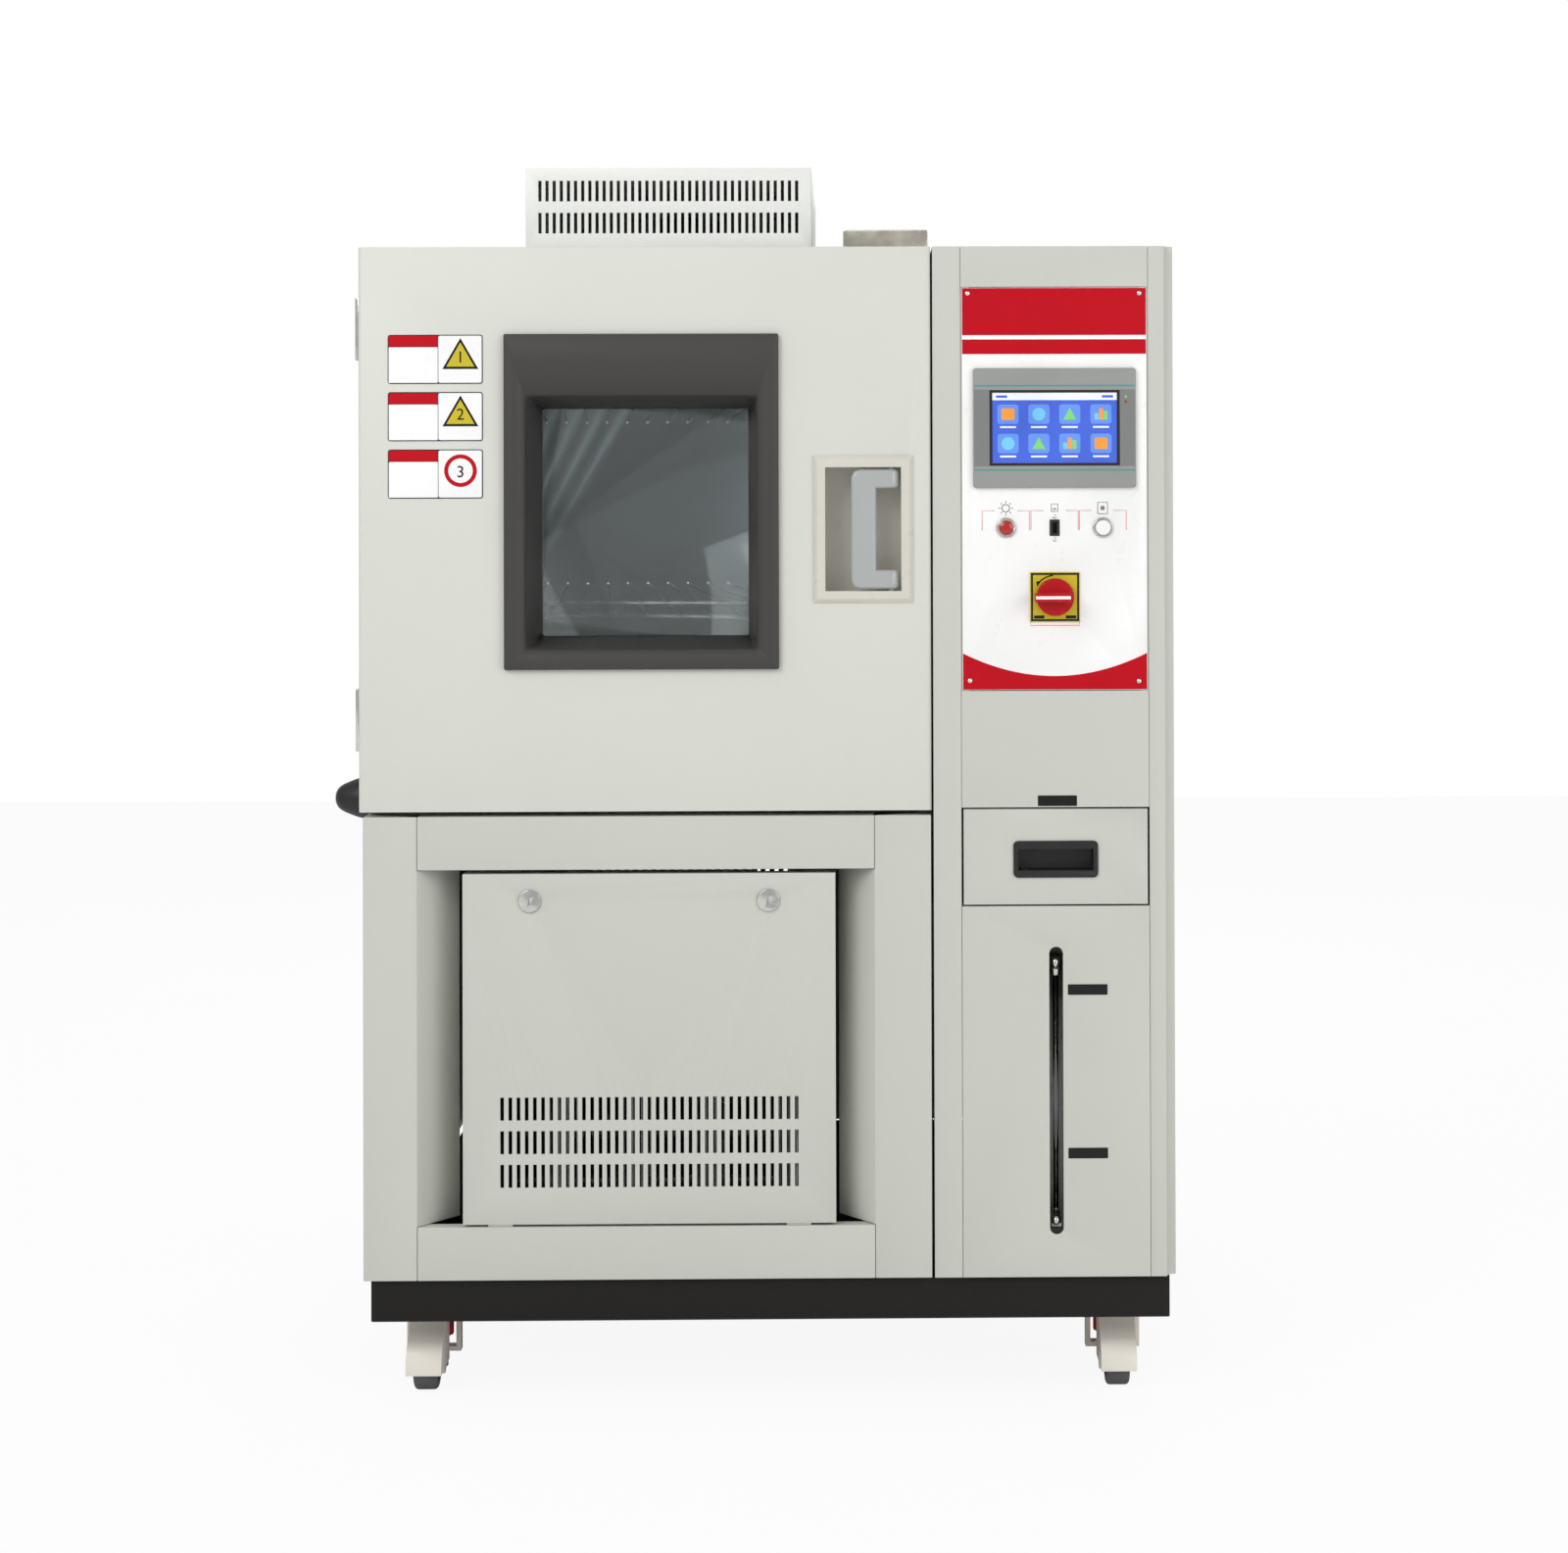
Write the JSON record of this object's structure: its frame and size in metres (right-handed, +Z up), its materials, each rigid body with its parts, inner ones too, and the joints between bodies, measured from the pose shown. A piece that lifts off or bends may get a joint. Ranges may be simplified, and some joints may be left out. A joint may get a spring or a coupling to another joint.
{
  "type": "environmental test chamber",
  "caption": "Floor-standing temperature and humidity test chamber with a windowed door, machine room, control column, water drawer and levelling casters.",
  "frame": {"origin": "centre of the whole outline on the floor", "axes": "+Z up, the door and controls face -Y, the hinges are on the -X side"},
  "size_m": [1.055, 1.019, 1.525],
  "materials": {
    "cabinet_paint": "satin",
    "vent_paint": "satin",
    "base_paint": "satin",
    "stainless": "satin",
    "chrome": "polished",
    "foam": "matte",
    "grey_plastic": "satin",
    "control_print": "gloss",
    "glass": "gloss",
    "window_paint": "satin",
    "seal_rubber": "matte",
    "cream_plastic": "satin",
    "lever_plastic": "gloss",
    "black_plastic": "satin",
    "yellow_plastic": "satin",
    "red_plastic": "satin",
    "white_plastic": "gloss",
    "machine_black": "gloss",
    "aluminium": "satin",
    "fan_plastic": "satin",
    "caster_paint": "satin",
    "wheel_rubber": "matte",
    "foot_rubber": "matte"
  },
  "bodies": {
    "cabinet": {"air_duct_panel": "stainless", "base_frame": "base_paint", "caster_plates": "caster_paint", "chamber_casing": "cabinet_paint", "chamber_liner": "stainless", "column_frame": "cabinet_paint", "compressor": "machine_black", "condenser": "aluminium", "control_plate": "control_print", "door_surround": "grey_plastic", "drain_pipe": "stainless", "evaporator": "aluminium", "fan_motor": "machine_black", "gauge_fittings": "chrome", "gauge_tube": "glass", "heater": "stainless", "hinge_brackets": "chrome", "humidifier": "stainless", "insulation": "foam", "junction_cover": "stainless", "lamp_bezels": "chrome", "lower_frame": "cabinet_paint", "motor_cover": "vent_paint", "rear_panel": "cabinet_paint", "right_side_panel": "cabinet_paint", "side_port_cap": "black_plastic", "switch_plate": "yellow_plastic", "touch_panel": "grey_plastic", "usb_socket": "black_plastic", "water_tank": "white_plastic", "wire_shelves": "chrome"},
    "door": {"door_skin": "cabinet_paint", "door_pan": "grey_plastic", "window_frame": "window_paint", "window_glass": "glass", "door_gasket": "seal_rubber", "handle_bezel": "cream_plastic", "door_hinges": "chrome"},
    "handle_lever": {"handle_lever": "lever_plastic"},
    "circulation_fan": {"circulation_fan": "aluminium"},
    "condenser_fan": {"condenser_fan": "fan_plastic"},
    "light_button": {"light_button": "white_plastic"},
    "switch_knob": {"switch_knob": "red_plastic"},
    "water_drawer": {"water_drawer": "cabinet_paint", "drawer_pull": "black_plastic"},
    "cover_panel": {"cover_panel": "cabinet_paint"},
    "lock_left": {"lock_left": "chrome"},
    "lock_right": {"lock_right": "chrome"},
    "caster_fork_front_left": {"caster_fork_front_left": "caster_paint"},
    "caster_wheel_front_left": {"caster_wheel_front_left": "wheel_rubber"},
    "caster_foot_front_left": {"caster_foot_front_left": "foot_rubber"},
    "caster_fork_front_right": {"caster_fork_front_right": "caster_paint"},
    "caster_wheel_front_right": {"caster_wheel_front_right": "wheel_rubber"},
    "caster_foot_front_right": {"caster_foot_front_right": "foot_rubber"},
    "caster_fork_rear_left": {"caster_fork_rear_left": "caster_paint"},
    "caster_wheel_rear_left": {"caster_wheel_rear_left": "wheel_rubber"},
    "caster_foot_rear_left": {"caster_foot_rear_left": "foot_rubber"},
    "caster_fork_rear_right": {"caster_fork_rear_right": "caster_paint"},
    "caster_wheel_rear_right": {"caster_wheel_rear_right": "wheel_rubber"},
    "caster_foot_rear_right": {"caster_foot_rear_right": "foot_rubber"}
  },
  "joints": [
    {"name": "door_hinge", "type": "hinge", "parent": "cabinet", "child": "door", "pos_m": [-0.4785, -0.3935, 0.834], "axis": [0, 0, -1], "range_deg": [0, 110]},
    {"name": "handle_pivot", "type": "hinge", "parent": "door", "child": "handle_lever", "pos_m": [0.1795, -0.4705, 1.069], "axis": [0, 0, 1], "range_deg": [0, 45]},
    {"name": "circulation_fan_spin", "type": "hinge", "parent": "cabinet", "child": "circulation_fan", "pos_m": [-0.099, 0.0735, 1.306], "axis": [0, 0, 1], "continuous": true},
    {"name": "condenser_fan_spin", "type": "hinge", "parent": "cabinet", "child": "condenser_fan", "pos_m": [-0.118, -0.2355, 0.302], "axis": [0, 1, 0], "continuous": true},
    {"name": "light_button_press", "type": "slide", "parent": "cabinet", "child": "light_button", "axis": [0, 1, 0], "range_m": [0, 0.0025], "stiffness_N_per_m": 400},
    {"name": "main_switch_turn", "type": "hinge", "parent": "cabinet", "child": "switch_knob", "pos_m": [0.3805, -0.4789, 0.985], "axis": [0, 1, 0], "range_deg": [0, 90]},
    {"name": "water_drawer_slide", "type": "slide", "parent": "cabinet", "child": "water_drawer", "axis": [0, -1, 0], "range_m": [0, 0.3]},
    {"name": "cover_tilt", "type": "hinge", "parent": "cabinet", "child": "cover_panel", "pos_m": [-0.118, -0.4745, 0.221], "axis": [1, 0, 0], "range_deg": [0, 60]},
    {"name": "lock_left_turn", "type": "hinge", "parent": "cover_panel", "child": "lock_left", "pos_m": [-0.264, -0.4755, 0.615], "axis": [0, -1, 0], "range_deg": [0, 90]},
    {"name": "lock_right_turn", "type": "hinge", "parent": "cover_panel", "child": "lock_right", "pos_m": [0.028, -0.4755, 0.615], "axis": [0, -1, 0], "range_deg": [0, 90]},
    {"name": "caster_front_left_swivel", "type": "hinge", "parent": "cabinet", "child": "caster_fork_front_left", "pos_m": [-0.3995, -0.3725, 0.09], "axis": [0, 0, 1], "continuous": true},
    {"name": "caster_front_left_roll", "type": "hinge", "parent": "caster_fork_front_left", "child": "caster_wheel_front_left", "pos_m": [-0.3995, -0.4025, 0.031], "axis": [1, 0, 0], "continuous": true},
    {"name": "caster_front_left_foot", "type": "slide", "parent": "caster_fork_front_left", "child": "caster_foot_front_left", "axis": [0, 0, -1], "range_m": [0, 0.008]},
    {"name": "caster_front_right_swivel", "type": "hinge", "parent": "cabinet", "child": "caster_fork_front_right", "pos_m": [0.4595, -0.3725, 0.09], "axis": [0, 0, 1], "continuous": true},
    {"name": "caster_front_right_roll", "type": "hinge", "parent": "caster_fork_front_right", "child": "caster_wheel_front_right", "pos_m": [0.4595, -0.4025, 0.031], "axis": [1, 0, 0], "continuous": true},
    {"name": "caster_front_right_foot", "type": "slide", "parent": "caster_fork_front_right", "child": "caster_foot_front_right", "axis": [0, 0, -1], "range_m": [0, 0.008]},
    {"name": "caster_rear_left_swivel", "type": "hinge", "parent": "cabinet", "child": "caster_fork_rear_left", "pos_m": [-0.3995, 0.3715, 0.09], "axis": [0, 0, 1], "continuous": true},
    {"name": "caster_rear_left_roll", "type": "hinge", "parent": "caster_fork_rear_left", "child": "caster_wheel_rear_left", "pos_m": [-0.3995, 0.3415, 0.031], "axis": [1, 0, 0], "continuous": true},
    {"name": "caster_rear_left_foot", "type": "slide", "parent": "caster_fork_rear_left", "child": "caster_foot_rear_left", "axis": [0, 0, -1], "range_m": [0, 0.008]},
    {"name": "caster_rear_right_swivel", "type": "hinge", "parent": "cabinet", "child": "caster_fork_rear_right", "pos_m": [0.4595, 0.3715, 0.09], "axis": [0, 0, 1], "continuous": true},
    {"name": "caster_rear_right_roll", "type": "hinge", "parent": "caster_fork_rear_right", "child": "caster_wheel_rear_right", "pos_m": [0.4595, 0.3415, 0.031], "axis": [1, 0, 0], "continuous": true},
    {"name": "caster_rear_right_foot", "type": "slide", "parent": "caster_fork_rear_right", "child": "caster_foot_rear_right", "axis": [0, 0, -1], "range_m": [0, 0.008]}
  ]
}
